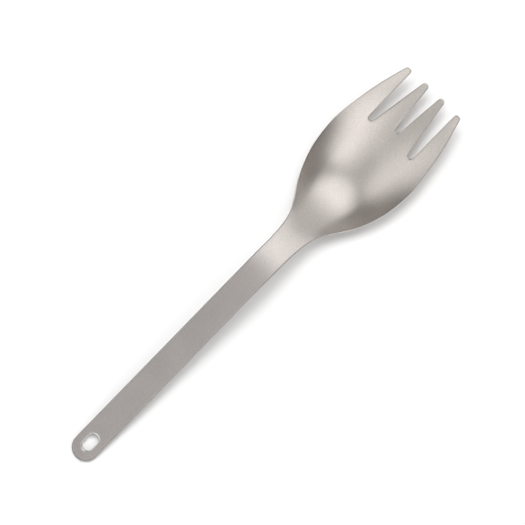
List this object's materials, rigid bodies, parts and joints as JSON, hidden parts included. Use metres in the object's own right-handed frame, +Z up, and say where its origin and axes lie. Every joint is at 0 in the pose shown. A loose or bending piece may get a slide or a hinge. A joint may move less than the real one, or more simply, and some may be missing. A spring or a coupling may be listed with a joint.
{
  "type": "spork",
  "caption": "One-piece pressed titanium camping spork: a deep bowl that ends in short tines, with a flat straight handle and a hanging slot.",
  "frame": {"origin": "on the table under the middle of the spork's bounding box", "axes": "+X along the spork from the end of the handle to the tine tips, +Y across it, +Z up, with the bowl's hollow facing up"},
  "size_m": [0.1649, 0.0348, 0.0146],
  "materials": {
    "titanium": "bare titanium, satin from fine blasting, warm grey"
  },
  "bodies": {
    "root": {"spork": "titanium"}
  },
  "joints": []
}
